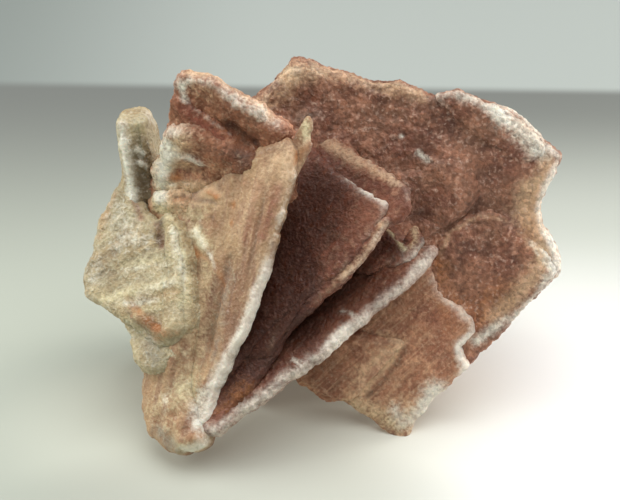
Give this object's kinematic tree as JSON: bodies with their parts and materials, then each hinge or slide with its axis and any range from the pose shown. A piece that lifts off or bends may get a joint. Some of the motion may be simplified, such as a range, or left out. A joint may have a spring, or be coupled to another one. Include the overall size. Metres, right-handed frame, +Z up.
{
  "type": "barite specimen",
  "caption": "Rosette of flat intergrown barite blades under drusy cream and pinkish-brown crust, standing on the worn lower edges of its blades.",
  "frame": {"origin": "on the surface the specimen stands on, under the middle of its footprint box", "axes": "+Z up; -Y towards the side the fan of blades opens to, +X towards the free end of the wide back plate"},
  "size_m": [0.1187, 0.0784, 0.0914],
  "materials": {
    "barite_crust": "granular drusy crust, cream on the left blades and pinkish brown on the others, whiter along the broken edges"
  },
  "bodies": {
    "root": {"barite_blades": "barite_crust"}
  },
  "joints": []
}
